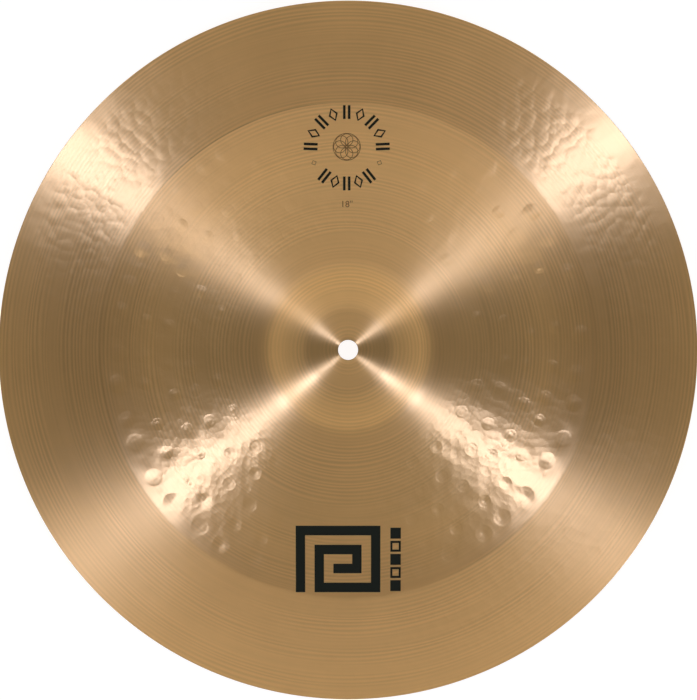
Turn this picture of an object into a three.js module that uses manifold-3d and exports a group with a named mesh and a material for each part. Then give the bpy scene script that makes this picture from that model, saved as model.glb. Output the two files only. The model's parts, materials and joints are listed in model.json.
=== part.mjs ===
// An 18 inch china cymbal: one bronze disc, pressed, hammered and turned on a lathe. Millimetres, +Z up.
// It lies bell up, resting on the ring of its crease. The origin is on that surface, under the hole.
import * as THREE from "three";
import { mergeVertices } from "three/addons/utils/BufferGeometryUtils.js";
import Module from "manifold-3d";

const wasm = await Module();
wasm.setup();

const degrees = THREE.MathUtils.degToRad;

// Diameters in plan, from the hole out to the rim
const holeDiameter = 13;
const feltSeatDiameter = 24;
const crownDiameter = 55;
const bellDiameter = 119;
const bowMiddleDiameter = 204;
const bowBellyDiameter = 260;
const creaseDiameter = 326;
const cymbalDiameter = 457.2;

// Widths in plan of the bends between the zones, and the bevel at the mouths of the hole
const holeBevel = 0.3;
const shoulderWidth = 5;
const bellFilletWidth = 11;
const creaseBendWidth = 2.6;

// Fall of the upper face towards the rim. The flange climbs instead, so its slopes are below zero.
const crownSlope = degrees(2.5);
const shoulderSlope = degrees(19);
const flankSlope = degrees(33);
const bowRootSlope = degrees(5.5);
const bowMiddleSlope = degrees(9);
const bowBellySlope = degrees(17);
const bowFootSlope = degrees(10);
const flangeRootSlope = degrees(-10.5);
const rimSlope = degrees(-21);

// Wall thickness, thinned by the lathe towards the rim
const bellWall = 1.15;
const bowWall = 0.95;
const rimWall = 0.65;

// Hammer blows on the bow, in rings counted inwards from the crease
const outerRingInset = 11.5;
const ringSpacing = 16.5;
const blowSpacing = 20;
const outerBlowDiameter = 12;
const innerBlowDiameter = 8.5;
const outerBlowDepth = 0.26;
const innerBlowDepth = 0.18;
const blowWander = 1.4; // how far a blow lands from its even place along the ring

// Fineness of the model
const turnedSides = 64;
const blowSides = 6;
const steepestTurn = degrees(8);
const longestFacet = 34;
const weldDistance = 0.002;
const cutterOverrunShare = 0.3; // how much wider than its pit a blow's cutter is, above the face

const bronze = new THREE.MeshStandardMaterial({
  color: new THREE.Color(0.62, 0.43, 0.22),
  roughness: 0.34,
  metalness: 1,
});

/** The places where the upper face changes how it curves, from the hole out to the rim. */
function stations() {
  const shoulder = { start: (crownDiameter - shoulderWidth) / 2, end: (crownDiameter + shoulderWidth) / 2 };
  const crease = { start: (creaseDiameter - creaseBendWidth) / 2, end: (creaseDiameter + creaseBendWidth) / 2 };
  return [
    { radius: holeDiameter / 2 + holeBevel, slope: 0, wall: bellWall },
    { radius: feltSeatDiameter / 2, slope: 0, wall: bellWall },
    { radius: shoulder.start, slope: crownSlope, wall: bellWall },
    { radius: shoulder.end, slope: shoulderSlope, wall: bellWall },
    { radius: bellDiameter / 2 - bellFilletWidth, slope: flankSlope, wall: bellWall },
    { radius: bellDiameter / 2, slope: bowRootSlope, wall: bowWall },
    { radius: bowMiddleDiameter / 2, slope: bowMiddleSlope, wall: bowWall },
    { radius: bowBellyDiameter / 2, slope: bowBellySlope, wall: bowWall },
    { radius: crease.start, slope: bowFootSlope, wall: bowWall },
    { radius: crease.end, slope: flangeRootSlope, wall: bowWall },
    { radius: cymbalDiameter / 2, slope: rimSlope, wall: rimWall },
  ];
}

/** Fall of the face between two places, where its slope changes evenly with the radius. */
function fallBetween(from, to) {
  const run = to.radius - from.radius;
  const turn = to.slope - from.slope;
  if (turn === 0) return run * Math.tan(from.slope);
  return (run / turn) * Math.log(Math.cos(from.slope) / Math.cos(to.slope));
}

/** The place a given share of the way from one station to the next. */
function between(from, to, share) {
  const mix = (key) => THREE.MathUtils.lerp(from[key], to[key], share);
  return { radius: mix("radius"), slope: mix("slope"), wall: mix("wall") };
}

/** Height of the underside below a ring of the upper face, with the wall measured square to the face. */
function undersideHeight(ring) {
  return ring.height - ring.wall / Math.cos(ring.slope);
}

/** The upper face as rings from the hole to the rim, each with its height over the resting surface. */
function turnedRings() {
  const stops = stations();
  const rings = [{ ...stops[0], height: 0 }];
  stops.slice(1).forEach((stop, index) => {
    const start = stops[index];
    const run = stop.radius - start.radius;
    const turn = Math.abs(stop.slope - start.slope);
    const steps = Math.max(1, Math.round(turn / steepestTurn), Math.ceil(run / longestFacet));
    for (let step = 1; step <= steps; step += 1) {
      const last = rings[rings.length - 1];
      const ring = between(start, stop, step / steps);
      rings.push({ ...ring, height: last.height - fallBetween(last, ring) });
    }
  });
  const lowest = Math.min(...rings.map(undersideHeight));
  return rings.map((ring) => ({ ...ring, height: ring.height - lowest }));
}

/** Height and slope of the upper face at any radius. */
function upperFaceAt(rings, radius) {
  const outer = rings.findIndex((ring) => ring.radius >= radius);
  const [from, to] = [rings[outer - 1], rings[outer]];
  const share = (radius - from.radius) / (to.radius - from.radius);
  const height = THREE.MathUtils.lerp(from.height, to.height, share);
  const slope = Math.atan2(from.height - to.height, to.radius - from.radius);
  return { height, slope };
}

/** A closed three.js surface as a solid that can be joined and cut. */
function asSolid(geometry) {
  const bare = new THREE.BufferGeometry();
  bare.setAttribute("position", geometry.getAttribute("position"));
  bare.setIndex(geometry.getIndex());
  const welded = mergeVertices(bare, weldDistance);
  return new wasm.Manifold(
    new wasm.Mesh({
      numProp: 3,
      vertProperties: new Float32Array(welded.getAttribute("position").array),
      triVerts: new Uint32Array(welded.getIndex().array),
    }),
  );
}

/** A solid as a flat-shaded three.js surface. */
function asGeometry(solid) {
  const { vertProperties, triVerts } = solid.getMesh();
  const geometry = new THREE.BufferGeometry();
  geometry.setAttribute("position", new THREE.BufferAttribute(vertProperties, 3));
  geometry.setIndex(new THREE.BufferAttribute(triVerts, 1));
  const faceted = geometry.toNonIndexed();
  faceted.computeVertexNormals();
  return faceted;
}

/** The disc as it leaves the lathe, before hammering: its section turned about the Z axis. */
function turnedDisc(rings) {
  const seat = rings[0];
  const upper = rings.map((ring) => new THREE.Vector2(ring.radius, ring.height));
  const under = rings.map((ring) => new THREE.Vector2(ring.radius, undersideHeight(ring)));
  const hole = [
    new THREE.Vector2(holeDiameter / 2, seat.height - holeBevel),
    new THREE.Vector2(holeDiameter / 2, undersideHeight(seat) + holeBevel),
  ];
  const section = [...under, ...upper.reverse(), ...hole, under[0]];
  return asSolid(new THREE.LatheGeometry(section, turnedSides).rotateX(Math.PI / 2));
}

/** The shallow pit of one hammer blow, as a cutter with its mouth at the origin and its point down. */
function blowCutter(diameter, depth) {
  const rise = depth * cutterOverrunShare;
  const pit = [
    new THREE.Vector2(0, -depth),
    new THREE.Vector2((diameter / 2) * (1 + cutterOverrunShare), rise),
    new THREE.Vector2(0, rise),
  ];
  return new THREE.LatheGeometry(pit, blowSides).rotateX(Math.PI / 2);
}

/** One ring of hammer blows, each standing square to the face that it lands on. */
function ringOfBlows(rings, radius, diameter, depth, turn) {
  const { height, slope } = upperFaceAt(rings, radius);
  const count = Math.round((2 * Math.PI * radius) / blowSpacing);
  return Array.from({ length: count }, (_, blow) => {
    const wander = (blowWander / radius) * Math.sin(blow * blow);
    const angle = ((blow + turn) / count) * 2 * Math.PI + wander;
    const cutter = blowCutter(diameter, depth).rotateY(slope);
    return asSolid(cutter.translate(radius, 0, height).rotateZ(angle));
  });
}

/** Every hammer blow on the bow, in rings that grow smaller and shallower towards the bell. */
function hammerBlows(rings) {
  const outermost = creaseDiameter / 2 - outerRingInset;
  const innermost = bellDiameter / 2 + outerRingInset;
  const count = Math.floor((outermost - innermost) / ringSpacing) + 1;
  return Array.from({ length: count }, (_, ring) => {
    const share = ring / count;
    const diameter = THREE.MathUtils.lerp(outerBlowDiameter, innerBlowDiameter, share);
    const depth = THREE.MathUtils.lerp(outerBlowDepth, innerBlowDepth, share);
    return ringOfBlows(rings, outermost - ring * ringSpacing, diameter, depth, share);
  }).flat();
}

/** The whole cymbal: the turned disc with its hammer blows struck into the bow. */
function cymbal() {
  const rings = turnedRings();
  const struck = hammerBlows(rings).reduce((disc, blow) => disc.subtract(blow), turnedDisc(rings));
  const mesh = new THREE.Mesh(asGeometry(struck), bronze);
  mesh.name = "cymbal";
  return mesh;
}

const part = new THREE.Group();
part.add(cymbal());

export default part;
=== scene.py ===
"""An 18 inch china cymbal of hammered bronze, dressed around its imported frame. Metres, +Z up.

The disc lies bell up on the ring of its crease, as its frame does. Its section is drawn as a chain of points and
spun about Z, the hammer blows are pressed into the spun sheet, and the printed marks are thin films of ink on it.
"""

from __future__ import annotations

import json
import logging
import math
from dataclasses import dataclass
from enum import Enum
from typing import ClassVar

import bmesh
import bpy
import numpy as np
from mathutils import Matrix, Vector

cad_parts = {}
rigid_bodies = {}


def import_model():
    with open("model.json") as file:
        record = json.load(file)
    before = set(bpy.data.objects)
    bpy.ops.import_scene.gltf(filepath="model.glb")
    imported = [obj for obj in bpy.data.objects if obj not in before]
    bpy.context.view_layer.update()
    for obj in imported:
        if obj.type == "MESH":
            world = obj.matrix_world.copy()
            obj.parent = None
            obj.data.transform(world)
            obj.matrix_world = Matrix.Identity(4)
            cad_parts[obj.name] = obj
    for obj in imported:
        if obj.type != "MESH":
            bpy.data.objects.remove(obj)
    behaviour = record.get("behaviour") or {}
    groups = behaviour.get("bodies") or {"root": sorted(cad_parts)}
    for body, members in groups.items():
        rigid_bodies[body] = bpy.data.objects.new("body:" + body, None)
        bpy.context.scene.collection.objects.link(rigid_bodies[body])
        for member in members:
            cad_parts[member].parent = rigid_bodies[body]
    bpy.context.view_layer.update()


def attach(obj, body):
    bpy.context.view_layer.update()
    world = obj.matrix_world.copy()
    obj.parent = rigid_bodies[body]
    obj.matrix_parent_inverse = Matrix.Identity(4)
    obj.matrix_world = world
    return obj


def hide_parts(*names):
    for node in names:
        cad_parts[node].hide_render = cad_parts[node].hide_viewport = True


MM = 0.001
TURN = 2 * math.pi

Colour = tuple[float, float, float, float]
Piece = bpy.types.Object
Socket = bpy.types.NodeSocket

log = logging.getLogger("china_cymbal")


def linear(red: float, green: float, blue: float) -> Colour:
    """Turn a colour as seen on a screen into the linear colour that a shader takes.

    Args:
        red: Red, 0 to 255.
        green: Green, 0 to 255.
        blue: Blue, 0 to 255.

    Returns:
        The linear colour with an alpha of 1.
    """
    parts = [channel / 255 for channel in (red, green, blue)]
    bent = [part / 12.92 if part <= 0.04045 else ((part + 0.055) / 1.055) ** 2.4 for part in parts]
    return (bent[0], bent[1], bent[2], 1.0)


# Section of the disc


@dataclass(frozen=True)
class Station:
    """A place where the upper face changes how it curves: its radius, its fall towards the rim, and its wall."""

    radius: float
    slope: float
    wall: float


@dataclass(frozen=True)
class Section:
    """The section of the disc from the hole to the rim, with the frame's own sizes and softer corners."""

    hole_radius: float = 6.5 * MM
    felt_seat_radius: float = 12 * MM
    crown_radius: float = 27.5 * MM
    bell_radius: float = 59.5 * MM
    bow_middle_radius: float = 102 * MM
    bow_belly_radius: float = 130 * MM
    crease_radius: float = 163 * MM
    rim_radius: float = 228.6 * MM
    hole_bevel: float = 0.3 * MM
    shoulder_width: float = 5 * MM
    bell_fillet_width: float = 11 * MM
    crease_bend_width: float = 2.6 * MM
    crown_slope: float = math.radians(2.5)
    shoulder_slope: float = math.radians(19)
    flank_slope: float = math.radians(33)
    bow_root_slope: float = math.radians(5.5)
    bow_middle_slope: float = math.radians(9)
    bow_belly_slope: float = math.radians(17)
    bow_foot_slope: float = math.radians(10)
    flange_root_slope: float = math.radians(-10.5)
    rim_slope: float = math.radians(-21)
    bell_wall: float = 1.15 * MM
    bow_wall: float = 0.95 * MM
    rim_wall: float = 0.65 * MM
    sample_step: float = 0.05 * MM
    sharp_blend: float = 1.2 * MM
    soft_blend: float = 16 * MM
    blend_start: float = 0.1

    def stations(self) -> list[Station]:
        """List the places where the curve changes.

        Returns:
            The stations, from the hole out to the rim.
        """
        bend = self.crease_bend_width / 2
        shoulder = self.shoulder_width / 2
        return [
            Station(self.hole_radius, 0, self.bell_wall),
            Station(self.felt_seat_radius, 0, self.bell_wall),
            Station(self.crown_radius - shoulder, self.crown_slope, self.bell_wall),
            Station(self.crown_radius + shoulder, self.shoulder_slope, self.bell_wall),
            Station(self.bell_radius - self.bell_fillet_width, self.flank_slope, self.bell_wall),
            Station(self.bell_radius, self.bow_root_slope, self.bow_wall),
            Station(self.bow_middle_radius, self.bow_middle_slope, self.bow_wall),
            Station(self.bow_belly_radius, self.bow_belly_slope, self.bow_wall),
            Station(self.crease_radius - bend, self.bow_foot_slope, self.bow_wall),
            Station(self.crease_radius + bend, self.flange_root_slope, self.bow_wall),
            Station(self.rim_radius, self.rim_slope, self.rim_wall),
        ]

    def curve(self) -> tuple[np.ndarray, np.ndarray, np.ndarray]:
        """Work out both faces of the sheet on a fine row of radii.

        Returns:
            Radii, heights of the upper face and heights of the underside over the resting surface.
        """
        stops = self.stations()
        marks = [stop.radius for stop in stops]
        count = round((self.rim_radius - self.hole_radius) / self.sample_step)
        radii = np.linspace(self.hole_radius, self.rim_radius, count + 1)
        plain = np.interp(radii, marks, [stop.slope for stop in stops])
        walls = np.interp(radii, marks, [stop.wall for stop in stops])
        crisp = self._eased(plain, self.sharp_blend)
        easy = self._eased(plain, self.soft_blend)
        inside = np.minimum(radii - self.bell_radius, self.crease_radius - radii)
        share = np.clip(inside / self.soft_blend - self.blend_start, 0, 1)
        slopes = crisp + (easy - crisp) * share * share * (3 - 2 * share)
        slopes[radii < self.felt_seat_radius] = 0
        falls = np.tan((slopes[1:] + slopes[:-1]) / 2) * np.diff(radii)
        upper = -np.concatenate(([0], np.cumsum(falls)))
        under = upper - walls / np.cos(slopes)
        return radii, upper - under.min(), under - under.min()

    def _eased(self, values: np.ndarray, width: float) -> np.ndarray:
        """Ease the corners of a row of values, with its ends held.

        Args:
            values: The row, one value for each sample.
            width: How far the easing reaches, in metres.

        Returns:
            The eased row, of the same length.
        """
        reach = max(1, round(width / 2 / self.sample_step))
        weights = np.hanning(2 * reach + 3)[1:-1]
        padded = np.pad(values, reach, mode="edge")
        return np.convolve(padded, weights / weights.sum(), mode="valid")


# Hammer blows


def eased(values: np.ndarray, start: float, end: float) -> np.ndarray:
    """Rise smoothly from 0 at the start to 1 at the end."""
    share = np.clip((values - start) / (end - start), 0, 1)
    return share * share * (3 - 2 * share)


@dataclass(frozen=True)
class BlowRow:
    """One row of hammer blows round the disc: flat-bottomed pits with soft walls."""

    radius: float
    count: int
    reach: float
    depth: float
    phase: float
    wander_along: ClassVar[float] = 0.16
    wander_across: ClassVar[float] = 0.09
    drift_pace: ClassVar[float] = 1.7
    flat_share: ClassVar[float] = 0.25
    reach_spread: ClassVar[float] = 0.17
    reach_pace: ClassVar[float] = 2.4
    mean_depth: ClassVar[float] = 0.85
    depth_spread: ClassVar[float] = 0.3
    depth_pace: ClassVar[float] = 3.1

    def sink(self, radii: np.ndarray, angles: np.ndarray) -> np.ndarray:
        """Say how deep this row's blows press the sheet at some points.

        Args:
            radii: Distance of each point from the axis.
            angles: Direction of each point, in radians from +X.

        Returns:
            Depths, none below zero.
        """
        spacing = TURN * self.radius / self.count
        turns = angles / TURN * self.count - self.phase
        nearest = np.round(turns)
        deepest = np.zeros_like(radii)
        for step in (-1, 0, 1):
            blow = (nearest + step) % self.count
            along = (turns - nearest - step - self.wander_along * np.sin(blow * blow)) * spacing
            across = radii - self.radius - self.wander_across * spacing * np.cos(self.drift_pace * blow * blow)
            reach = self.reach * (1 + self.reach_spread * np.sin(self.reach_pace * blow))
            depth = self.depth * (self.mean_depth + self.depth_spread * np.cos(self.depth_pace * blow))
            pit = depth * (1 - eased(np.hypot(along, across) / reach, self.flat_share, 1))
            deepest = np.maximum(deepest, pit)
        return deepest


@dataclass(frozen=True)
class Hammering:
    """All the blows on the disc, and the slow waver that they leave in the sheet."""

    bow_inset: float = 11.5 * MM
    row_spacing: float = 16.5 * MM
    bow_phases: tuple[float, ...] = (0.45, 0.66, 0.43, 0.84, 0.95)
    blow_spacing: float = 22 * MM
    outer_reach: float = 6.8 * MM
    inner_reach: float = 5 * MM
    outer_depth: float = 0.2 * MM
    inner_depth: float = 0.1 * MM
    flange_rows: int = 6
    flange_inset: float = 7 * MM
    flange_spacing: float = 11 * MM
    flange_reach: float = 5.6 * MM
    flange_depth: float = 0.022 * MM
    flange_phase_step: float = 0.37
    waver_depth: float = 0.04 * MM
    waver_length: float = 46 * MM
    waver_fade: tuple[float, float] = (2 * MM, 24 * MM)
    ripple_depth: float = 0.035 * MM
    ripple_length: float = 16 * MM
    ripple_fade: tuple[float, float] = (1 * MM, 8 * MM)
    waves: int = 14
    length_spread: tuple[float, float] = (0.6, 1.6)
    seed: int = 7

    def bow_rows(self, section: Section) -> list[BlowRow]:
        """List the rows of blows on the bow.

        Args:
            section: The section of the disc.

        Returns:
            The rows, from the crease in to the bell.
        """
        made = []
        for row, phase in enumerate(self.bow_phases):
            share = row / (len(self.bow_phases) - 1)
            radius = section.crease_radius - self.bow_inset - row * self.row_spacing
            reach = self.inner_reach if row else self.outer_reach
            depth = self.outer_depth + (self.inner_depth - self.outer_depth) * share
            made.append(self._row(radius, self.blow_spacing, reach, depth, phase))
        return made

    def rows(self, section: Section) -> list[BlowRow]:
        """List all the rows of blows.

        Args:
            section: The section of the disc.

        Returns:
            The rows on the bow, and then the shallow ones on the flange.
        """
        made = self.bow_rows(section)
        width = section.rim_radius - section.crease_radius - 2 * self.flange_inset
        for row in range(self.flange_rows):
            radius = section.crease_radius + self.flange_inset + width * row / (self.flange_rows - 1)
            phase = self.flange_phase_step * row
            made.append(self._row(radius, self.flange_spacing, self.flange_reach, self.flange_depth, phase))
        return made

    def _row(self, radius: float, spacing: float, reach: float, depth: float, phase: float) -> BlowRow:
        """Space a row of blows evenly round the disc."""
        return BlowRow(radius, round(TURN * radius / spacing), reach, depth, phase)

    def sink(self, section: Section, radii: np.ndarray, angles: np.ndarray) -> np.ndarray:
        """Say how far the blows press the upper face in at some points."""
        return sum(row.sink(radii, angles) for row in self.rows(section))

    def waver(self, section: Section, radii: np.ndarray, angles: np.ndarray) -> np.ndarray:
        """Add up slow waves on the bow and the flange and ripples on the bow, all still at the bell and the crease.

        Args:
            section: The section of the disc.
            radii: Distance of each point from the axis.
            angles: Direction of each point, in radians from +X.

        Returns:
            How far the sheet rises, or falls where below zero.
        """
        share = eased(radii, section.bell_radius, section.bow_middle_radius)
        inside = section.crease_radius - radii
        slow = self._waves(self.waver_length, radii, angles) * eased(np.abs(inside), *self.waver_fade)
        quick = self._waves(self.ripple_length, radii, angles) * eased(inside, *self.ripple_fade)
        return (self.waver_depth * slow + self.ripple_depth * quick) * share

    def _waves(self, mean_length: float, radii: np.ndarray, angles: np.ndarray) -> np.ndarray:
        """Add up straight waves of many headings and lengths.

        Args:
            mean_length: The length that the waves' own lengths are spread round.
            radii: Distance of each point from the axis.
            angles: Direction of each point, in radians from +X.

        Returns:
            Heights, mostly between -1 and 1.
        """
        chance = np.random.default_rng(self.seed)
        total = np.zeros_like(radii)
        for _ in range(self.waves):
            heading, phase = chance.uniform(0, TURN, 2)
            length = mean_length * chance.uniform(*self.length_spread)
            total += np.sin(radii * np.cos(angles - heading) / length * TURN + phase)
        return total / math.sqrt(self.waves)


# Modelling by hand


class Bench:
    """The few hand moves that every piece here is made with."""

    @staticmethod
    def start() -> None:
        """Deselect everything, in object mode."""
        if bpy.context.object and bpy.context.object.mode != "OBJECT":
            bpy.ops.object.mode_set(mode="OBJECT")
        bpy.ops.object.select_all(action="DESELECT")

    @staticmethod
    def finish(name: str) -> Piece:
        """Leave edit mode, put the piece's place into its mesh and name it.

        Args:
            name: The name of the piece.

        Returns:
            The finished object, at the origin.
        """
        if bpy.context.object.mode != "OBJECT":
            bpy.ops.object.mode_set(mode="OBJECT")
        bpy.ops.object.transform_apply(location=True, rotation=True, scale=True)
        piece = bpy.context.object
        piece.name = name
        piece.data.name = name
        return piece

    @staticmethod
    def empty() -> None:
        """Start a new mesh with nothing in it, in edit mode."""
        bpy.ops.mesh.primitive_plane_add()
        bpy.ops.object.mode_set(mode="EDIT")
        bpy.ops.mesh.delete(type="VERT")

    @staticmethod
    def face_outwards() -> None:
        """Turn every face of the active piece outwards and shade it smooth up to its corners."""
        bpy.ops.object.mode_set(mode="EDIT")
        bpy.ops.mesh.select_all(action="SELECT")
        bpy.ops.mesh.normals_make_consistent(inside=False)
        bpy.ops.object.mode_set(mode="OBJECT")
        bpy.ops.object.shade_smooth_by_angle(angle=math.radians(30))

    @staticmethod
    def apply(piece: Piece) -> None:
        """Apply every modifier of a piece, in their order, and leave it the active object.

        Args:
            piece: The piece.
        """
        bpy.context.view_layer.objects.active = piece
        for modifier in list(piece.modifiers):
            bpy.ops.object.modifier_apply(modifier=modifier.name)


def read_places(piece: Piece) -> np.ndarray:
    """Read the places of a piece's vertices.

    Args:
        piece: The piece.

    Returns:
        A row of x, y and z for each vertex.
    """
    places = np.empty(len(piece.data.vertices) * 3)
    piece.data.vertices.foreach_get("co", places)
    return places.reshape(-1, 3)


@dataclass
class Disc:
    """The bronze disc: its sheet, spun from the section and then hammered.

    Where the underside bends, its rings are given by their distance from the bend, in millimetres.
    """

    section: Section
    hammering: Hammering
    steps: int = 600
    crown_pitch: float = 3.2 * MM
    shoulder_pitch: float = 0.9 * MM
    bell_pitch: float = 2.1 * MM
    bow_pitch: float = 1.55 * MM
    crease_pitch: float = 0.6 * MM
    flange_pitch: float = 2.15 * MM
    under_pitch: float = 14 * MM
    crease_rings: tuple[float, ...] = (1.9, 0.7, 0, -0.7, -1.9)
    bell_rings: tuple[float, ...] = (0, -3, -6, -9, -12)
    crown_rings: tuple[float, ...] = (4, 2, 0, -2, -4)
    ring_clearance: float = 3 * MM
    rim_turns: tuple[float, ...] = (80, 45, 0, -45, -80)
    bevel_round: float = 0.3
    crease_waver: float = 0.35 * MM
    crease_waver_reach: float = 9 * MM
    crease_waves: tuple[int, ...] = (9, 17, 26, 41)
    weld: float = 0.01 * MM
    smooth_angle: float = math.radians(40)
    map_margin: float = 0.01
    map_strip: float = 0.485
    map_hole: float = 0.003
    map_side: float = 0.002

    def build(self) -> Piece:
        """Draw the section, spin it and hammer it.

        Returns:
            The finished sheet.
        """
        chain = self._chain()
        Bench.start()
        bpy.ops.mesh.primitive_plane_add(size=self.bow_pitch)
        bpy.ops.object.mode_set(mode="EDIT")
        bpy.ops.mesh.merge(type="CENTER")
        bpy.ops.transform.translate(value=chain[0])
        for start, end in zip(chain, chain[1:]):
            bpy.ops.mesh.extrude_vertices_move(TRANSFORM_OT_translate={"value": end - start})
        self._close(chain[0], chain[-1])
        bpy.ops.mesh.select_all(action="SELECT")
        bpy.ops.mesh.spin(steps=self.steps, angle=TURN, center=(0, 0, 0), axis=(0, 0, 1))
        bpy.ops.mesh.select_all(action="SELECT")
        bpy.ops.mesh.remove_doubles(threshold=self.weld)
        bpy.ops.mesh.normals_make_consistent(inside=False)
        sheet = Bench.finish("cymbal_sheet")
        self._hammer(sheet)
        bpy.ops.object.shade_smooth_by_angle(angle=self.smooth_angle)
        self._unwrap(sheet)
        return sheet

    def dress(self, sheet: Piece, bronze: bpy.types.Material) -> None:
        """Give the sheet its finish, and let it stand for the frame's solid.

        Args:
            sheet: The finished sheet.
            bronze: The finish.
        """
        sheet.data.materials.append(bronze)
        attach(sheet, "root")
        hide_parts("cymbal")

    def _radii(self) -> list[float]:
        """Space out the rings of the upper face, close together where it bends most.

        Returns:
            Their radii, from the hole outwards.
        """
        section = self.section
        shoulder = section.shoulder_width / 2 + section.sharp_blend
        bend = section.crease_bend_width / 2 + section.sharp_blend
        zones = [
            (section.hole_radius + section.hole_bevel, section.crown_radius - shoulder, self.crown_pitch),
            (section.crown_radius - shoulder, section.crown_radius + shoulder, self.shoulder_pitch),
            (section.crown_radius + shoulder, section.bell_radius, self.bell_pitch),
            (section.bell_radius, section.crease_radius - bend, self.bow_pitch),
            (section.crease_radius - bend, section.crease_radius + bend, self.crease_pitch),
            (section.crease_radius + bend, section.rim_radius, self.flange_pitch),
        ]
        radii = []
        for start, end, pitch in zones:
            count = max(1, round((end - start) / pitch))
            radii += [start + (end - start) * step / count for step in range(count)]
        return radii

    def _chain(self) -> list[Vector]:
        """Lay out the section's outline.

        Returns:
            Its points, out along the upper face, round the rim and back underneath.
        """
        section = self.section
        radii, upper, under = section.curve()
        bevel = section.hole_bevel
        rim = section.rim_radius
        wall = upper[-1] - under[-1]

        def point(radius: float, heights: np.ndarray, lift: float = 0) -> Vector:
            """Put a point on the upper face or the underside, or a little over or under it."""
            return Vector((radius, 0, float(np.interp(radius, radii, heights)) + lift))

        inset = bevel * self.bevel_round
        chain = [point(section.hole_radius, upper, -bevel), point(section.hole_radius + inset, upper, -inset)]
        chain += [point(radius, upper) for radius in self._radii()]
        middle = (upper[-1] + under[-1]) / 2
        for turn in self.rim_turns:
            angle = math.radians(turn)
            reach = wall / 2 * math.cos(angle)
            chain.append(Vector((rim - wall / 2 + reach, 0, middle + wall / 2 * math.sin(angle))))
        bends = ((section.crease_radius, self.crease_rings), (section.bell_radius, self.bell_rings),
                 (section.crown_radius, self.crown_rings))
        close = [radius + offset * MM for radius, offsets in bends for offset in offsets]
        even = np.arange(rim - self.under_pitch / 2, section.hole_radius + bevel, -self.under_pitch)
        kept = [radius for radius in even if all(abs(radius - other) > self.ring_clearance for other in close)]
        chain += [point(radius, under) for radius in sorted(kept + close, reverse=True)]
        chain += [point(section.hole_radius + bevel, under), point(section.hole_radius, under, bevel)]
        return chain

    def _close(self, first: Vector, last: Vector) -> None:
        """Join the two ends of the chain, which face each other across the wall of the hole.

        Args:
            first: The chain's first point.
            last: Its last point.
        """
        bpy.ops.mesh.select_all(action="DESELECT")
        mesh = bmesh.from_edit_mesh(bpy.context.object.data)
        for vertex in mesh.verts:
            vertex.select = min((vertex.co - first).length, (vertex.co - last).length) < self.weld
        mesh.select_flush_mode()
        bpy.ops.mesh.edge_face_add()

    def _hammer(self, sheet: Piece) -> None:
        """Press the blows into the upper face, waver both faces alike and let the crease wander a little.

        Args:
            sheet: The spun sheet.
        """
        places = read_places(sheet)
        radii = np.hypot(places[:, 0], places[:, 1])
        angles = np.arctan2(places[:, 1], places[:, 0])
        above = self._above(places)
        places[:, 2] += self.hammering.waver(self.section, radii, angles)
        places[above, 2] -= self.hammering.sink(self.section, radii[above], angles[above])
        near = np.clip(1 - np.abs(radii - self.section.crease_radius) / self.crease_waver_reach, 0, 1)
        drift = sum(np.sin(angles * turns + turns) for turns in self.crease_waves) / len(self.crease_waves)
        places[:, :2] *= (1 + drift * near * self.crease_waver / radii)[:, None]
        places[:, 2] -= places[:, 2].min()
        sheet.data.vertices.foreach_set("co", places.ravel())
        sheet.data.update()

    def _above(self, places: np.ndarray) -> np.ndarray:
        """Tell which places on the turned sheet belong to its upper face.

        Args:
            places: A row of x, y and z for each.

        Returns:
            True for each place that does.
        """
        radii, upper, under = self.section.curve()
        radius = np.hypot(places[:, 0], places[:, 1])
        return places[:, 2] > (np.interp(radius, radii, upper) + np.interp(radius, radii, under)) / 2

    def _unwrap(self, sheet: Piece) -> None:
        """Unroll the sheet into two strips of a map, with the angle across and the radius upwards.

        Args:
            sheet: The hammered sheet.
        """
        mesh = sheet.data
        places = read_places(sheet)
        radius = np.hypot(places[:, 0], places[:, 1])
        share = (radius - self.section.hole_radius) / (self.section.rim_radius - self.section.hole_radius)
        rise = np.where(self._above(places), self.map_margin + self.map_strip * share,
                        1 - self.map_margin - self.map_strip * share)
        across = np.arctan2(places[:, 1], places[:, 0]) / TURN % 1
        corners = np.empty(len(mesh.loops), dtype=np.int32)
        mesh.loops.foreach_get("vertex_index", corners)
        across, rise = across[corners].reshape(-1, 4), rise[corners].reshape(-1, 4)
        seam = across.max(axis=1) - across.min(axis=1) > 0.5
        across[seam] += across[seam] < 0.5
        hole = rise.max(axis=1) - rise.min(axis=1) > 0.5
        rise[hole] = np.where(rise[hole] > 0.5, self.map_hole, rise[hole])
        across = across * (1 - 2 * self.map_side) + self.map_side
        layer = mesh.uv_layers.new(name="OFBake")
        layer.data.foreach_set("uv", np.stack([across, rise], axis=-1).ravel())


# Prints


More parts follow.
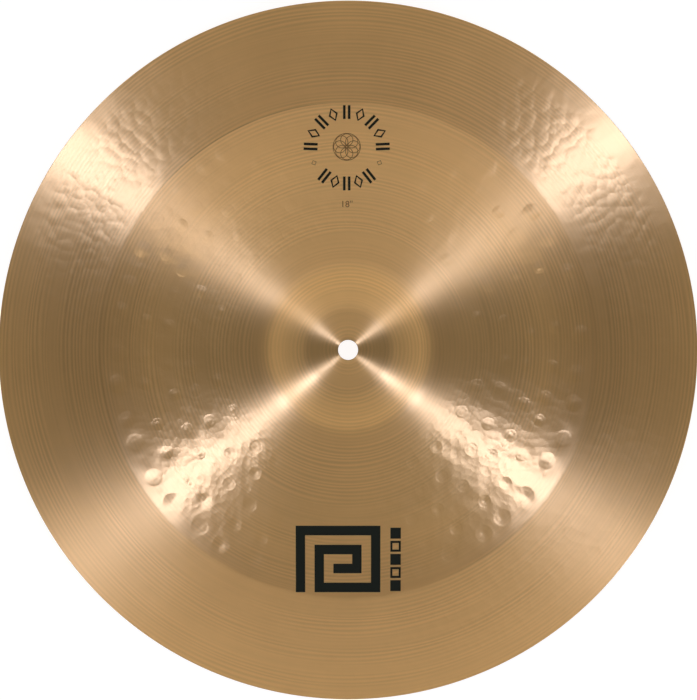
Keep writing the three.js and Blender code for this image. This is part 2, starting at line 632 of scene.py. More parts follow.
@dataclass
class Print:
    """A film of ink on the sheet. Each kind of print draws itself flat, and is then laid on the sheet."""

    name: str
    centre: tuple[float, float]
    start_height: float = 60 * MM
    lift: float = 0.06 * MM
    film: float = 0.03 * MM

    def build(self, sheet: Piece) -> Piece:
        """Draw the print and lay it on the sheet.

        Args:
            sheet: The sheet that it lies on.

        Returns:
            The finished film, a closed mesh.
        """
        Bench.start()
        self._draw()
        if bpy.context.object.mode != "EDIT":
            bpy.ops.object.mode_set(mode="EDIT")
        bpy.ops.mesh.select_all(action="SELECT")
        bpy.ops.transform.translate(value=(*self.centre, self.start_height))
        film = Bench.finish(self.name)
        press = film.modifiers.new("press", "SHRINKWRAP")
        press.target = sheet
        press.wrap_method = "PROJECT"
        press.use_project_z = True
        press.use_negative_direction = True
        press.use_positive_direction = False
        press.offset = self.lift
        body = film.modifiers.new("body", "SOLIDIFY")
        body.thickness = self.film
        body.offset = 1
        Bench.apply(film)
        Bench.face_outwards()
        return film

    def dress(self, film: Piece, ink: bpy.types.Material) -> None:
        """Give the film its ink and fix it to the disc.

        Args:
            film: The finished film.
            ink: The ink.
        """
        film.data.materials.clear()
        film.data.materials.append(ink)
        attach(film, "root")

    def _draw(self) -> None:
        """Draw the print flat, round the origin, and leave it the active object."""
        raise NotImplementedError


@dataclass
class GridPrint(Print):
    """A print made of square cells, from rows of marks where # is inked."""

    rows: tuple[str, ...] = ()
    width: float = 0.0
    height: float = 0.0
    cuts: int = 1

    def _draw(self) -> None:
        """Lay out a sheet of cells and take out the bare ones."""
        across, down = len(self.rows[0]), len(self.rows)
        bpy.ops.mesh.primitive_grid_add(x_subdivisions=across * self.cuts, y_subdivisions=down * self.cuts, size=1)
        bpy.context.object.scale = (self.width, self.height, 1)
        bpy.ops.object.transform_apply(scale=True)
        bpy.ops.object.mode_set(mode="EDIT")
        bpy.ops.mesh.select_mode(type="FACE")
        bpy.ops.mesh.select_all(action="DESELECT")
        mesh = bmesh.from_edit_mesh(bpy.context.object.data)
        for face in mesh.faces:
            middle = face.calc_center_median()
            column = int((middle.x / self.width + 0.5) * across)
            row = int((0.5 - middle.y / self.height) * down)
            face.select = self.rows[row][column] != "#"
        bpy.ops.mesh.delete(type="FACE")
        bpy.ops.mesh.select_mode(type="VERT")


@dataclass
class MarkRing(Print):
    """A ring of upright marks, pairs of bars and hollow lozenges by turns.

    Each arc of marks is given by the direction of its middle and its span, in degrees, and its number of marks.
    """

    radius: float = 23.7 * MM
    length: float = 9.2 * MM
    stroke: float = 1.7 * MM
    bar_gap: float = 3.2 * MM
    lozenge_width: float = 6.4 * MM
    corner_share: float = 1.6
    arcs: tuple[tuple[float, float, int], ...] = ((90.0, 176.0, 9), (270.0, 76.0, 5))
    spacer_angles: tuple[float, ...] = (205.0, 335.0)
    spacer_size: float = 3.6 * MM
    spacer_stroke: float = 0.5 * MM

    def _draw(self) -> None:
        """Set the marks out along the two arcs, with a small lozenge between their ends."""
        Bench.empty()
        for middle, span, count in self.arcs:
            for mark in range(count):
                angle = middle - span / 2 + span * mark / (count - 1)
                if mark % 2:
                    self._lozenge(angle, self.length, self.lozenge_width, self.stroke)
                else:
                    self._bar(angle, self.bar_gap / 2)
                    self._bar(angle, -self.bar_gap / 2)
        for angle in self.spacer_angles:
            self._lozenge(angle, self.spacer_size, self.spacer_size, self.spacer_stroke)

    def _bar(self, angle: float, aside: float) -> None:
        """Draw one radial bar.

        Args:
            angle: Its direction, in degrees.
            aside: How far it stands aside of its radius.
        """
        bpy.ops.mesh.primitive_plane_add(size=1)
        bpy.ops.transform.resize(value=(self.length, self.stroke, 1), center_override=(0, 0, 0))
        bpy.ops.transform.translate(value=(0, aside, 0))
        bpy.ops.mesh.subdivide(number_cuts=5)
        self._place(angle)

    def _lozenge(self, angle: float, length: float, width: float, stroke: float) -> None:
        """Draw one hollow lozenge.

        Args:
            angle: Its direction, in degrees.
            length: Its length along the radius.
            width: Its width across the radius.
            stroke: The width of its line.
        """
        bpy.ops.mesh.primitive_circle_add(vertices=4, radius=1)
        bpy.ops.transform.resize(value=(length / 2, width / 2, 1), center_override=(0, 0, 0))
        bpy.ops.mesh.subdivide(number_cuts=2)
        bpy.ops.mesh.extrude_region()
        inner = (1 - self.corner_share * stroke / length, 1 - self.corner_share * stroke / width, 1)
        bpy.ops.transform.resize(value=inner, center_override=(0, 0, 0))
        bpy.ops.mesh.select_linked()
        self._place(angle)

    def _place(self, angle: float) -> None:
        """Move what was just drawn out along the radius and turn it round the ring."""
        bpy.ops.transform.translate(value=(self.radius, 0, 0))
        bpy.ops.transform.rotate(value=-math.radians(angle), orient_axis="Z", center_override=(0, 0, 0))


@dataclass
class Rosette(Print):
    """A thin-line rosette: a ring of overlapping circles inside a larger one."""

    radius: float = 9.2 * MM
    petals: int = 8
    stroke: float = 0.42 * MM
    petal_reach: float = 0.5
    petal_size: float = 0.92
    sides: int = 48

    def _draw(self) -> None:
        """Draw the circles one by one."""
        Bench.empty()
        self._circle(self.radius, 0, 0)
        for petal in range(self.petals):
            angle = TURN * petal / self.petals
            reach = self.radius * self.petal_reach
            self._circle(reach * self.petal_size, math.cos(angle) * reach, math.sin(angle) * reach)

    def _circle(self, radius: float, across: float, up: float) -> None:
        """Draw one thin circle.

        Args:
            radius: Its outer radius.
            across: How far its centre stands to the right.
            up: How far its centre stands up.
        """
        place = (across, up, 0)
        bpy.ops.mesh.primitive_circle_add(vertices=self.sides, radius=radius, location=place)
        bpy.ops.mesh.extrude_region()
        shrink = 1 - self.stroke / radius
        bpy.ops.transform.resize(value=(shrink, shrink, 1), center_override=place)


@dataclass
class SizeMark(Print):
    """The size of the disc in inches, in small plain figures."""

    text: str = '18"'
    height: float = 4.2 * MM
    height_share: float = 0.7

    def _draw(self) -> None:
        """Set the figures and turn them into a mesh."""
        bpy.ops.object.text_add()
        figures = bpy.context.object
        figures.data.body = self.text
        figures.data.align_x = "CENTER"
        figures.data.align_y = "CENTER"
        figures.data.size = self.height / self.height_share
        bpy.ops.object.convert(target="MESH")


# Finishes


class Tree:
    """Adds nodes to a material or a group and links them by the names of their sockets."""

    column_width: ClassVar[int] = 180

    def __init__(self, tree: bpy.types.NodeTree) -> None:
        """Work on a node tree, after emptying it.

        Args:
            tree: The tree of a material, a world or a group.
        """
        self.tree = tree
        tree.nodes.clear()
        self.column = 0

    def add(self, kind: str, inputs: dict | None = None, **settings: object) -> bpy.types.Node:
        """Add a node.

        Args:
            kind: The type of node.
            inputs: Values or sockets for its inputs, by name or number.
            settings: Attributes of the node.

        Returns:
            The new node.
        """
        node = self.tree.nodes.new(kind)
        node.location = (self.column, 0)
        self.column += self.column_width
        for key, value in settings.items():
            setattr(node, key, value)
        for key, value in (inputs or {}).items():
            if isinstance(value, Socket):
                self.tree.links.new(value, node.inputs[key])
            else:
                node.inputs[key].default_value = value
        return node

    def math(self, operation: str, first: object, second: object = 0.0, clamp: bool = False) -> Socket:
        """Add a sum of two numbers or sockets and return its result."""
        node = self.add("ShaderNodeMath", {0: first, 1: second}, operation=operation, use_clamp=clamp)
        return node.outputs[0]

    def mix(self, share: object, first: object, second: object) -> Socket:
        """Mix two colours by a share and return the result."""
        node = self.add("ShaderNodeMix", {0: share, 6: first, 7: second}, data_type="RGBA")
        return node.outputs[2]

    def noise(self, place: object, scale: object, detail: float, roughness: float) -> Socket:
        """Add a noise texture at a place and return its value."""
        inputs = {"Vector": place, "Scale": scale, "Detail": detail, "Roughness": roughness}
        return self.add("ShaderNodeTexNoise", inputs).outputs["Fac"]


class Kind(Enum):
    """The kinds of socket that the groups here have."""

    NUMBER = "NodeSocketFloat"
    PLACE = "NodeSocketVector"


def new_group(name: str, inputs: dict[str, Kind],
              outputs: dict[str, Kind]) -> tuple[Tree, bpy.types.Node, bpy.types.Node]:
    """Make a shader node group with named sockets.

    Args:
        name: The name of the group.
        inputs: Kind of each input by its name.
        outputs: Kind of each output by its name.

    Returns:
        The group's tree, its input node and its output node.
    """
    group = bpy.data.node_groups.new(name, "ShaderNodeTree")
    for label, kind in inputs.items():
        group.interface.new_socket(name=label, in_out="INPUT", socket_type=kind.value)
    for label, kind in outputs.items():
        group.interface.new_socket(name=label, in_out="OUTPUT", socket_type=kind.value)
    tree = Tree(group)
    return tree, tree.add("NodeGroupInput"), tree.add("NodeGroupOutput")


def radius_of(tree: Tree, place: Socket) -> Socket:
    """Measure the distance of a place from the Z axis, inside a node tree."""
    flat = tree.add("ShaderNodeVectorMath", {0: place, 1: (1.0, 1.0, 0.0)}, operation="MULTIPLY").outputs[0]
    return tree.add("ShaderNodeVectorMath", {0: flat}, operation="LENGTH").outputs["Value"]


@dataclass(frozen=True)
class Grain:
    """A noise that changes quickly from ring to ring and slowly round the disc.

    Its drift is how fast it changes over the disc, per metre, and its pace how fast with each ring.
    """

    drift: float
    pace: float
    detail: float = 1.0
    roughness: float = 0.5

    def value(self, tree: Tree, place: Socket, rings: Socket) -> Socket:
        """Add the noise to a tree.

        Args:
            tree: The tree to work in.
            place: The place on the object.
            rings: The number of rings passed so far.

        Returns:
            Its value, round 0.5.
        """
        split = tree.add("ShaderNodeSeparateXYZ", {0: place})
        across = tree.math("MULTIPLY", split.outputs[0], self.drift)
        up = tree.math("MULTIPLY", split.outputs[1], self.drift)
        joined = tree.add("ShaderNodeCombineXYZ", {0: across, 1: up, 2: tree.math("MULTIPLY", rings, self.pace)})
        return tree.noise(joined.outputs[0], 1.0, self.detail, self.roughness)


@dataclass(frozen=True)
class LatheRings:
    """The rings that a lathe tool leaves: grooves that come and go, finer lines, broad bands of tone, and shade
    painted into the groove bottoms.
    """

    wander: Grain = Grain(9.0, 0.4)
    wander_rings: float = 1.5
    force: Grain = Grain(7.0, 0.17)
    force_gain: float = 4.0
    force_floor: float = 1.4
    fine: Grain = Grain(10.0, 1.5, 2.0, 0.6)
    band: Grain = Grain(4.0, 0.16, 2.0, 0.6)
    groove_height: float = 0.45
    fine_height: float = 0.6
    groove_shade: float = 0.65
    band_tone: float = 0.3

    def build(self) -> bpy.types.NodeTree:
        """Build the group.

        Returns:
            The group, which gives the rings as a height and as a tone that paints shade in the grooves, both round
            zero.
        """
        tree, given, result = new_group(
            "lathe_rings", {"Position": Kind.PLACE, "Pitch": Kind.NUMBER},
            {"Height": Kind.NUMBER, "Tone": Kind.NUMBER})
        place = given.outputs["Position"]
        rings = tree.math("DIVIDE", radius_of(tree, place), given.outputs["Pitch"])
        wander = tree.math("MULTIPLY", self.wander.value(tree, place, rings), self.wander_rings)
        phase = tree.math("MULTIPLY", tree.math("ADD", rings, wander), TURN)
        force = tree.math("MULTIPLY", self.force.value(tree, place, rings), self.force_gain)
        groove = tree.math("MULTIPLY", tree.math("SINE", phase),
                           tree.math("SUBTRACT", force, self.force_floor, clamp=True))
        fine = tree.math("SUBTRACT", self.fine.value(tree, place, rings), 0.5)
        band = tree.math("SUBTRACT", self.band.value(tree, place, rings), 0.5)
        height = tree.math("ADD", tree.math("MULTIPLY", groove, self.groove_height),
                           tree.math("MULTIPLY", fine, self.fine_height))
        # The tone follows the height: painted shade in the groove bottoms and lighter ridges, plus random bands of
        # tone.
        tone = tree.math("ADD", tree.math("MULTIPLY", height, self.groove_shade),
                         tree.math("MULTIPLY", band, self.band_tone))
        tree.tree.links.new(height, result.inputs["Height"])
        tree.tree.links.new(tone, result.inputs["Tone"])
        return tree.tree


def ring_line_group() -> bpy.types.NodeTree:
    """Build the group that masks a thin line round the axis at a given radius.

    Returns:
        The group, which gives 1 on the line and 0 away from it.
    """
    tree, given, result = new_group(
        "ring_line", {"Position": Kind.PLACE, "Radius": Kind.NUMBER, "Width": Kind.NUMBER}, {"Mask": Kind.NUMBER})
    away = tree.math("SUBTRACT", radius_of(tree, given.outputs["Position"]), given.outputs["Radius"])
    share = tree.math("DIVIDE", tree.math("ABSOLUTE", away), given.outputs["Width"])
    near = tree.math("SUBTRACT", 1.0, share, clamp=True)
    tree.tree.links.new(tree.math("MULTIPLY", near, near), result.inputs["Mask"])
    return tree.tree


@dataclass(frozen=True)
class HammerScales:
    """Crowded round hammer marks between two radii, in layers, each with its own pace and depth.

    A layer shows only where no deeper mark has been struck over it.
    """

    layers: tuple[tuple[float, float], ...] = ((1.0, 1.0), (1.09, 0.85), (1.2, 0.7))
    randomness: float = 0.65
    mark_radius: float = 0.44
    patch_pace: float = 0.3
    patch_floor: float = 0.1
    patch_gain: float = 3.0

    def build(self) -> bpy.types.NodeTree:
        """Build the group.

        Returns:
            The group, which gives a height in millimetres.
        """
        tree, given, result = new_group(
            "hammer_scales",
            {"Position": Kind.PLACE, "Size": Kind.NUMBER, "Depth": Kind.NUMBER, "Inner": Kind.NUMBER,
             "Outer": Kind.NUMBER, "Fade": Kind.NUMBER},
            {"Height": Kind.NUMBER})
        place, fade = given.outputs["Position"], given.outputs["Fade"]
        scale = tree.math("DIVIDE", 1.0, given.outputs["Size"])
        struck: object = 0.0
        for pace, depth in self.layers:
            cells = tree.add("ShaderNodeTexVoronoi", {
                "Vector": place, "Scale": tree.math("MULTIPLY", scale, pace), "Randomness": self.randomness},
                voronoi_dimensions="2D")
            share = tree.math("DIVIDE", cells.outputs["Distance"], self.mark_radius)
            bowl = tree.math("SUBTRACT", 1.0, tree.math("MULTIPLY", share, share), clamp=True)
            struck = tree.math("MAXIMUM", struck, tree.math("MULTIPLY", bowl, depth))
        patch = tree.noise(place, tree.math("MULTIPLY", scale, self.patch_pace), 1.0, 0.5)
        patchy = tree.math("MULTIPLY", tree.math("SUBTRACT", patch, self.patch_floor), self.patch_gain, clamp=True)
        radius = radius_of(tree, place)
        rise = tree.math("DIVIDE", tree.math("SUBTRACT", radius, given.outputs["Inner"]), fade, clamp=True)
        fall = tree.math("DIVIDE", tree.math("SUBTRACT", given.outputs["Outer"], radius), fade, clamp=True)
        force = tree.math("MULTIPLY", tree.math("MULTIPLY", rise, fall), patchy)
        height = tree.math("MULTIPLY", tree.math("MULTIPLY", struck, -1.0), given.outputs["Depth"])
        tree.tree.links.new(tree.math("MULTIPLY", height, force), result.inputs["Height"])
        return tree.tree


@dataclass(frozen=True)
class BlowRings:
    """The ring inside each blow of a row and the lip round it, found where BlowRow puts the blows.

    Each ridge is given by its middle, as a share of the blow's reach, its steepness and its height.
    """

    ridges: tuple[tuple[float, float, float], ...] = ((0.4, 3.4, 1.0), (0.86, 5.0, 0.8))

    def build(self) -> bpy.types.NodeTree:
        """Build the group.

        Returns:
            The group, which gives a height in millimetres.
        """
        tree, given, result = new_group(
            "blow_rings",
            {"Position": Kind.PLACE, "Radius": Kind.NUMBER, "Count": Kind.NUMBER, "Phase": Kind.NUMBER,
             "Reach": Kind.NUMBER, "Depth": Kind.NUMBER},
            {"Height": Kind.NUMBER})
        place, radius, count = (given.outputs[name] for name in ("Position", "Radius", "Count"))
        split = tree.add("ShaderNodeSeparateXYZ", {0: place})
        angle = tree.math("ARCTAN2", split.outputs[1], split.outputs[0])
        turns = tree.math("SUBTRACT", tree.math("MULTIPLY", tree.math("DIVIDE", angle, TURN), count),
                          given.outputs["Phase"])
        nearest = tree.math("ROUND", turns)
        blow = tree.math("FLOORED_MODULO", nearest, count)
        square = tree.math("MULTIPLY", blow, blow)
        spacing = tree.math("DIVIDE", tree.math("MULTIPLY", radius, TURN), count)
        wander = tree.math("MULTIPLY", tree.math("SINE", square), BlowRow.wander_along)
        along = tree.math("MULTIPLY", tree.math("SUBTRACT", tree.math("SUBTRACT", turns, nearest), wander), spacing)
        drift = tree.math("MULTIPLY", tree.math("COSINE", tree.math("MULTIPLY", square, BlowRow.drift_pace)),
                          tree.math("MULTIPLY", spacing, BlowRow.wander_across))
        across = tree.math("SUBTRACT", tree.math("SUBTRACT", radius_of(tree, place), radius), drift)
        away = tree.math("SQRT", tree.math("ADD", tree.math("MULTIPLY", along, along),
                                           tree.math("MULTIPLY", across, across)))
        share = tree.math("DIVIDE", away, given.outputs["Reach"])
        relief: object = 0.0
        for middle, steepness, height in self.ridges:
            away = tree.math("ABSOLUTE", tree.math("SUBTRACT", share, middle))
            ridge = tree.math("SUBTRACT", 1.0, tree.math("MULTIPLY", away, steepness), clamp=True)
            relief = tree.math("ADD", relief, tree.math("MULTIPLY", ridge, height))
        tree.tree.links.new(tree.math("MULTIPLY", relief, given.outputs["Depth"]), result.inputs["Height"])
        return tree.tree


@dataclass(frozen=True)
class Bronze:
    """Turned and hammered bronze: grooves round the axis, tone bands, painted shade in the grooves and on the
    crease, and dark edges.

    Depths of relief are in millimetres.
    """

    section: Section
    hammering: Hammering
    light: Colour = (0.99, 0.603, 0.271, 1.0)
    deep: Colour = (0.73, 0.444, 0.199, 1.0)
    # Dark colour for the painted shade on the crease and for the dark edges of the rim and the hole.
    shade_and_edge_dark: Colour = (0.12, 0.07, 0.03, 1.0)
    cloud_scale: float = 22.0
    cloud_tone: float = 0.55
    cloud_gloss: float = 0.03
    roughness: float = 0.36
    anisotropy: float = 1.0
    grain_turn: float = 0.25
    lacquer: float = 0.12
    lacquer_roughness: float = 0.34
    groove_pitch: float = 2.4 * MM
    groove_depth: float = 0.04
    groove_gloss: float = 0.04
    peel_scale: float = 150.0
    peel_depth: float = 0.012
    flange_mark_size: float = 10.5 * MM
    flange_mark_depth: float = 0.04
    flange_mark_fade: float = 10 * MM
    bow_mark_share: float = 0.6
    bow_mark_depth: float = 0.026
    bow_mark_fade: float = 16 * MM
    blow_ring_depth: float = 0.017
    crease_margin: float = 1.5 * MM
    rim_margin: float = 6 * MM
    bell_margin: float = 4 * MM
    # Painted shade on the crease: the direction it lies towards, where it starts and fades, and its mottling.
    crease_shade_angle: float = 115.0
    crease_shade_start: float = 0.88
    crease_shade_fade: float = 18 * MM
    crease_shade_scale: float = 30.0
    crease_line: float = 0.8 * MM
    edge_line: float = 0.9 * MM
    # How much the thin lines along the edges of the rim and the hole are darkened.
    rim_darkening: float = 0.25
    hole_darkening: float = 0.7

    def build(self) -> bpy.types.Material:
        """Build the material.

        Returns:
            The finish of the whole sheet.
        """
        material = bpy.data.materials.new("hammered_bronze")
        material.use_nodes = True
        tree = Tree(material.node_tree)
        place = tree.add("ShaderNodeTexCoord").outputs["Object"]
        rings = self._use(tree, LatheRings().build(), place, {"Pitch": self.groove_pitch})
        clouds = tree.math("SUBTRACT", tree.noise(place, self.cloud_scale, 4.0, 0.55), 0.5)
        # The rings' tone carries painted shade in the grooves; the clouds are random tone.
        tone = tree.math("ADD", rings.outputs["Tone"], tree.math("MULTIPLY", clouds, self.cloud_tone))
        colour = tree.mix(tree.math("ADD", tone, 0.5, clamp=True), self.deep, self.light)
        colour = self._lines(tree, place, colour)
        polish = tree.math("MULTIPLY", rings.outputs["Height"], self.groove_gloss)
        haze = tree.math("MULTIPLY", clouds, self.cloud_gloss)
        rough = tree.math("ADD", tree.math("ADD", haze, polish), self.roughness)
        bump = tree.add("ShaderNodeBump", {"Height": self._relief(tree, place, rings.outputs["Height"]),
                                           "Strength": 1.0, "Distance": MM})
        tangent = tree.add("ShaderNodeTangent", direction_type="RADIAL", axis="Z")
        shader = tree.add("ShaderNodeBsdfPrincipled", {
            "Base Color": colour, "Metallic": 1.0, "Roughness": rough, "Anisotropic": self.anisotropy,
            "Anisotropic Rotation": self.grain_turn, "Coat Weight": self.lacquer,
            "Coat Roughness": self.lacquer_roughness, "Normal": bump.outputs[0], "Tangent": tangent.outputs[0]})
        tree.add("ShaderNodeOutputMaterial", {"Surface": shader.outputs[0]})
        return material

    def _use(self, tree: Tree, group: bpy.types.NodeTree, place: Socket,
             values: dict[str, float]) -> bpy.types.Node:
        """Place a group in the material with its own values."""
        return tree.add("ShaderNodeGroup", {"Position": place, **values}, node_tree=group)

    def _relief(self, tree: Tree, place: Socket, grooves: Socket) -> Socket:
        """Add up the relief that is finer than the mesh.

        Args:
            tree: The material's tree.
            place: The place on the object.
            grooves: The height of the lathe's rings.

        Returns:
            The height of the relief, in millimetres.
        """
        section = self.section
        scales = HammerScales().build()
        parts = [
            self._use(tree, scales, place, {
                "Size": self.flange_mark_size, "Depth": self.flange_mark_depth,
                "Fade": self.flange_mark_fade, "Inner": section.crease_radius + self.crease_margin,
                "Outer": section.rim_radius - self.rim_margin}),
            self._use(tree, scales, place, {
                "Size": self.bow_mark_share * self.flange_mark_size, "Depth": self.bow_mark_depth,
                "Fade": self.bow_mark_fade, "Inner": section.bell_radius + self.bell_margin,
                "Outer": section.crease_radius - self.crease_margin})]
        rings = BlowRings().build()
        for row in self.hammering.bow_rows(section):
            parts.append(self._use(tree, rings, place, {
                "Radius": row.radius, "Count": row.count, "Phase": row.phase, "Reach": row.reach,
                "Depth": self.blow_ring_depth}))
        peel = tree.math("MULTIPLY", tree.noise(place, self.peel_scale, 2.0, 0.5), self.peel_depth)
        height = tree.math("ADD", peel, tree.math("MULTIPLY", grooves, self.groove_depth))
        for part in parts:
            height = tree.math("ADD", height, part.outputs[0])
        return height

    def _lines(self, tree: Tree, place: Socket, colour: Socket) -> Socket:
        """Paint shade along a stretch of the crease on one side of the disc, and darken the edges of the rim and
        the hole.

        Args:
            tree: The material's tree.
            place: The place on the object.
            colour: The colour so far.

        Returns:
            The colour with its painted crease shade and dark edges.
        """
        section = self.section
        # Painted shade: the crease line is darkened only towards one side of the disc, mottled by noise.
        towards = math.radians(self.crease_shade_angle)
        ahead = tree.add("ShaderNodeVectorMath", {0: place, 1: (math.cos(towards), math.sin(towards), 0.0)},
                         operation="DOT_PRODUCT").outputs["Value"]
        beyond = tree.math("SUBTRACT", ahead, self.crease_shade_start * section.crease_radius)
        near = tree.math("DIVIDE", beyond, self.crease_shade_fade, clamp=True)
        patch = tree.math("MULTIPLY", near, tree.noise(place, self.crease_shade_scale, 2.0, 0.5))
        lines = ring_line_group()
        # The crease line is painted shade; the rim and hole lines darken the face along those edges.
        for radius, width, strength in (
                (section.crease_radius, self.crease_line, patch),
                (section.rim_radius, self.edge_line, self.rim_darkening),
                (section.hole_radius, self.edge_line, self.hole_darkening)):
            line = self._use(tree, lines, place, {"Radius": radius, "Width": width})
            colour = tree.mix(tree.math("MULTIPLY", line.outputs["Mask"], strength), colour, self.shade_and_edge_dark)
        return colour


@dataclass(frozen=True)
class Ink:
    """Printed ink, plain and nearly matt."""

    name: str
    colour: Colour
    roughness: float = 0.6
    shine: float = 0.1

    def build(self) -> bpy.types.Material:
        """Build the material.

        Returns:
            The ink.
        """
        material = bpy.data.materials.new(self.name)
        material.use_nodes = True
        tree = Tree(material.node_tree)
        shader = tree.add("ShaderNodeBsdfPrincipled", {
            "Base Color": self.colour, "Roughness": self.roughness, "Specular IOR Level": self.shine})
        tree.add("ShaderNodeOutputMaterial", {"Surface": shader.outputs[0]})
        return material


# Studio


@dataclass(frozen=True)
class Lamp:
    """A soft square lamp that looks at the middle of the disc."""

    name: str
    azimuth: float
    elevation: float
    distance: float
    width: float
    height: float
    glow: float
    colour: tuple[float, float, float]
    watts_for_glow: ClassVar[float] = 4

    def build(self) -> None:
        """Hang the lamp."""
        data = bpy.data.lights.new(self.name, "AREA")
        data.shape = "RECTANGLE"
        data.size, data.size_y = self.width, self.height
        data.energy = self.glow * self.watts_for_glow * self.width * self.height
        data.color = self.colour
        lamp = bpy.data.objects.new(self.name, data)
        across, up = math.radians(self.azimuth), math.radians(self.elevation)
        towards = Vector((math.cos(across) * math.cos(up), math.sin(across) * math.cos(up), math.sin(up)))
        lamp.location = towards * self.distance
        lamp.rotation_euler = towards.to_track_quat("Z", "Y").to_euler()
        bpy.context.scene.collection.objects.link(lamp)


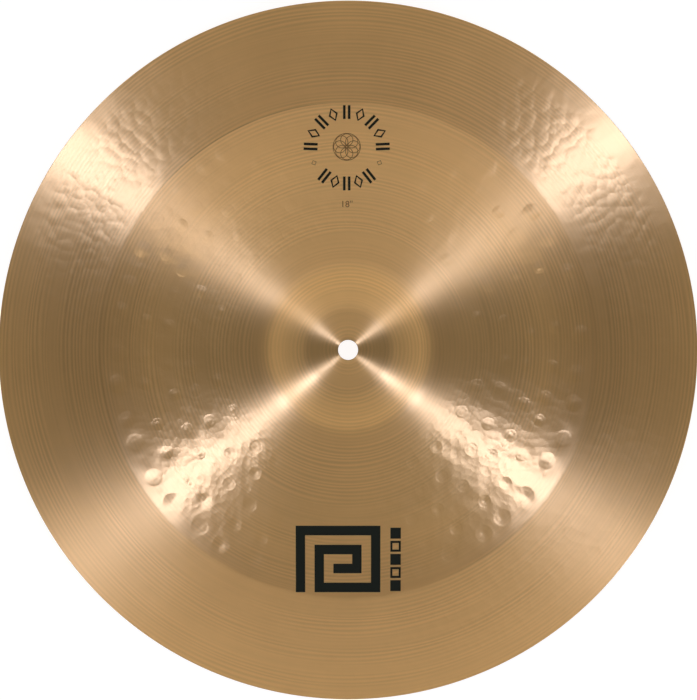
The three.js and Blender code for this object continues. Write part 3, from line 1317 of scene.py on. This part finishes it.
@dataclass(frozen=True)
class Studio:
    """The camera over the disc, the lamps, the plain surroundings and the white floor.

    Each strip is given by its name, azimuth and glow, and each fill by its name, azimuth, elevation, width, height
    and glow.
    """

    image_width: int = 697
    image_height: int = 700
    disc_centre_px: tuple[float, float] = (348.1, 349.9)
    disc_radius_px: float = 349.4
    camera_distance: float = 3.0
    strips: tuple[tuple[str, float, float], ...] = (
        ("left_lamp", 218.4, 11.2), ("right_lamp", 324.5, 11.2),
        ("far_left_lamp", 142.8, 1.25), ("far_right_lamp", 38.5, 1.25))
    strip_elevation: float = 57.0
    strip_distance: float = 4.0
    strip_size: tuple[float, float] = (0.304, 1.4)
    key_colour: tuple[float, float, float] = (0.83, 1.0, 1.62)
    fills: tuple[tuple[str, float, float, float, float, float], ...] = (
        ("far_fill", 90, 66, 3.69, 0.343, 2.07), ("near_fill", 270, 53, 2.75, 0.858, 0.17))
    fill_distance: float = 2.6
    fill_colour: tuple[float, float, float] = (1.035, 1.0, 0.955)
    wall_colour: tuple[float, float, float] = (1.015, 0.995, 0.82)
    overhead_glow: float = 0.13
    horizon_glow: float = 1.38
    horizon_power: float = 2.0
    floor_size: float = 60.0
    floor_gap: float = 0.05 * MM
    floor_colour: Colour = (0.18, 0.18, 0.18, 1.0)
    floor_glow: float = 0.9

    def build(self, rim_radius: float, rim_height: float) -> None:
        """Set up everything around the disc.

        Args:
            rim_radius: Radius of the disc, in metres.
            rim_height: Height of the rim over the floor, in metres.
        """
        self._camera(rim_radius, rim_height)
        self._floor()
        self._surroundings()
        lamps = [
            Lamp(name, azimuth, self.strip_elevation, self.strip_distance, *self.strip_size, glow, self.key_colour)
            for name, azimuth, glow in self.strips]
        lamps += [
            Lamp(name, azimuth, elevation, self.fill_distance, width, height, glow, self.fill_colour)
            for name, azimuth, elevation, width, height, glow in self.fills]
        for lamp in lamps:
            lamp.build()

    def _camera(self, rim_radius: float, rim_height: float) -> None:
        """Hang the camera straight over the disc, so that the rim fills the picture as in the photograph.

        Args:
            rim_radius: Radius of the disc, in metres.
            rim_height: Height of the rim over the floor, in metres.
        """
        scale = rim_radius / self.disc_radius_px
        data = bpy.data.cameras.new("camera")
        data.sensor_fit = "AUTO"
        data.sensor_width = 36.0
        data.lens = data.sensor_width * self.camera_distance / (self.image_height * scale)
        data.clip_end = 100.0
        camera = bpy.data.objects.new("camera", data)
        right = (self.image_width / 2 - self.disc_centre_px[0]) * scale
        up = (self.disc_centre_px[1] - self.image_height / 2) * scale
        camera.location = (right, up, rim_height + self.camera_distance)
        bpy.context.scene.collection.objects.link(camera)
        bpy.context.scene.camera = camera

    def _floor(self) -> None:
        """Lay a plain white floor that keeps the shadow of the disc, and is clear from underneath."""
        Bench.start()
        bpy.ops.mesh.primitive_plane_add(size=self.floor_size, location=(0, 0, -self.floor_gap))
        floor = Bench.finish("floor")
        material = bpy.data.materials.new("white_floor")
        material.use_nodes = True
        tree = Tree(material.node_tree)
        path = tree.add("ShaderNodeLightPath").outputs
        seen = tree.math("MAXIMUM", path["Is Camera Ray"],
                         tree.math("MAXIMUM", path["Is Glossy Ray"], path["Is Transmission Ray"]))
        paint = tree.add("ShaderNodeBsdfPrincipled", {
            "Base Color": self.floor_colour, "Roughness": 0.9, "Specular IOR Level": 0.1,
            "Emission Color": (1.0, 1.0, 1.0, 1.0),
            "Emission Strength": tree.math("MULTIPLY", seen, self.floor_glow)})
        clear = tree.add("ShaderNodeBsdfTransparent")
        back = tree.add("ShaderNodeNewGeometry").outputs["Backfacing"]
        mixed = tree.add("ShaderNodeMixShader", {0: back, 1: paint.outputs[0], 2: clear.outputs[0]})
        tree.add("ShaderNodeOutputMaterial", {"Surface": mixed.outputs[0]})
        floor.data.materials.append(material)

    def _surroundings(self) -> None:
        """Put the studio's pale walls round the disc: bright at the horizon, dim overhead."""
        world = bpy.data.worlds.new("studio")
        bpy.context.scene.world = world
        world.use_nodes = True
        tree = Tree(world.node_tree)
        direction = tree.add("ShaderNodeTexCoord").outputs["Generated"]
        height = tree.math("MAXIMUM", tree.add("ShaderNodeSeparateXYZ", {0: direction}).outputs[2], 0.0)
        fade = tree.math("POWER", tree.math("SUBTRACT", 1.0, height), self.horizon_power)
        strength = tree.math("ADD", tree.math("MULTIPLY", fade, self.horizon_glow), self.overhead_glow)
        glow = tree.add("ShaderNodeBackground", {"Color": (*self.wall_colour, 1.0), "Strength": strength})
        tree.add("ShaderNodeOutputWorld", {"Surface": glow.outputs[0]})


KEY_ROWS = (
    "#########",
    "#.......#",
    "#.#####.#",
    "#.#...#.#",
    "#.#.###.#",
    "#.#.....#",
    "#.#######",
)
SOLID_BLOCK = ("#####",) * 5
HOLLOW_BLOCK = ("#####", "#...#", "#...#", "#...#", "#####")
BLOCK_GAP = (".....",)
BLOCK_ROWS = (SOLID_BLOCK + BLOCK_GAP + HOLLOW_BLOCK + BLOCK_GAP) * 2 + SOLID_BLOCK


def add_prints(sheet: Piece) -> list[Piece]:
    """Lay every print on the sheet and give it its ink.

    Args:
        sheet: The sheet that the prints lie on.

    Returns:
        The films of ink.
    """
    black = Ink("black_ink", linear(25, 28, 20)).build()
    brown = Ink("brown_ink", linear(112, 82, 48)).build()
    prints = [
        (GridPrint("key_panel", (-6.6 * MM, -137.4 * MM), rows=KEY_ROWS, width=55.6 * MM, height=44.1 * MM, cuts=4),
         black),
        (GridPrint("block_column", (31.2 * MM, -137.7 * MM), rows=BLOCK_ROWS, width=6.9 * MM, height=42.1 * MM),
         black),
        (MarkRing("mark_ring", (-0.9 * MM, 132.8 * MM)), black),
        (Rosette("rosette", (-0.9 * MM, 133.4 * MM)), brown),
        (SizeMark("size_mark", (-0.9 * MM, 95.3 * MM)), brown),
    ]
    films = []
    for drawing, ink in prints:
        film = drawing.build(sheet)
        drawing.dress(film, ink)
        films.append(film)
    return films


def main() -> None:
    """Build, dress and light the cymbal, and report each piece."""
    logging.basicConfig(level=logging.INFO, format="%(message)s")
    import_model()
    section = Section()
    hammering = Hammering()
    disc = Disc(section, hammering)
    sheet = disc.build()
    disc.dress(sheet, Bronze(section, hammering).build())
    films = add_prints(sheet)
    for piece in (sheet, *films):
        log.info("%s: %d faces, %.3f mm high", piece.name, len(piece.data.polygons), piece.dimensions.z / MM)
    upper = section.curve()[1]
    Studio().build(section.rim_radius, float(upper[-1]))
    bpy.context.scene.view_settings.view_transform = "Standard"


if __name__ == "__main__":
    main()
